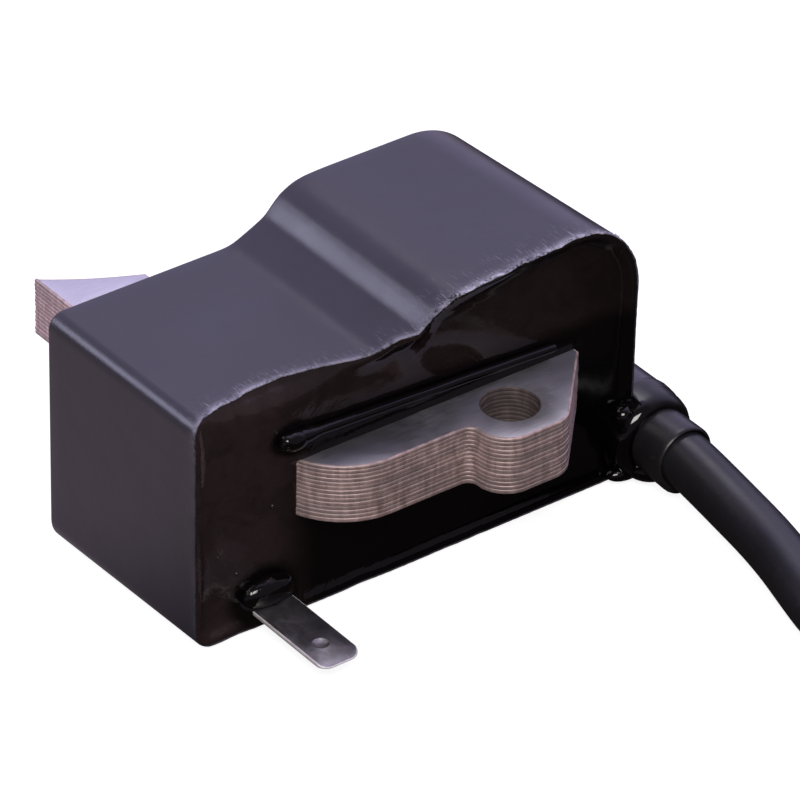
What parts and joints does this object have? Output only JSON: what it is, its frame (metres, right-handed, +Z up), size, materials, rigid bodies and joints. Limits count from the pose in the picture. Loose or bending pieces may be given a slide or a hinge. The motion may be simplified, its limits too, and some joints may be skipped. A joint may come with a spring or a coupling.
{
  "type": "ignition coil",
  "caption": "Potted ignition module with a humped moulded case on a laminated steel core, a spade terminal, and a high-tension lead that ends in a right-angle rubber plug boot.",
  "frame": {"origin": "midway between the two mounting holes, on the core's seating face, which is its underside", "axes": "+X along the case towards the lead outlet, +Y from the open potted face towards the pole faces, +Z up through the mounting holes, away from the face that the case rests on"},
  "size_m": [0.138, 0.1163, 0.0336],
  "materials": {
    "case": "moulded, fine satin grain",
    "potting": "poured black epoxy, glossy, rippled, raised round what passes through it",
    "core_steel": "punched silicon steel sheets, dull grey faces, striped edges",
    "bobbin": "moulded nylon",
    "copper_wire": "enamelled copper wire, laid in close turns",
    "fine_wire": "fine enamelled copper wire",
    "tape": "insulating tape",
    "board": "glass-fibre board",
    "capacitor": "dipped film capacitor",
    "black_package": "moulded package",
    "resistor_body": "lacquered body",
    "tinned_terminal": "dull tin plate on a punched strip",
    "wire_cover": "insulated wire",
    "brass_parts": "brass strip and pin",
    "sleeve_rubber": "smooth moulded rubber",
    "lead_jacket": "smooth, slightly dusty rubber jacket",
    "boot_rubber": "matte moulded rubber",
    "spring_steel": "plated spring wire"
  },
  "bodies": {
    "root": {"case": "case", "potting_compound": "potting", "core_laminations": "core_steel", "charge_coil_bobbin": "bobbin", "charge_winding": "copper_wire", "trigger_winding": "copper_wire", "charge_coil_tape": "tape", "primary_bobbin": "bobbin", "primary_winding": "copper_wire", "secondary_bobbin": "bobbin", "secondary_winding": "fine_wire", "circuit_board": "board", "storage_capacitor": "capacitor", "thyristor": "black_package", "rectifier_diodes": "black_package", "resistors": "resistor_body", "stop_terminal": "tinned_terminal", "stop_wire": "wire_cover", "ground_strap": "brass_parts", "coil_wires": "copper_wire", "ht_contact": "brass_parts", "lead_sleeve": "sleeve_rubber", "ht_lead": "lead_jacket", "plug_boot": "boot_rubber", "plug_spring": "spring_steel"}
  },
  "joints": []
}
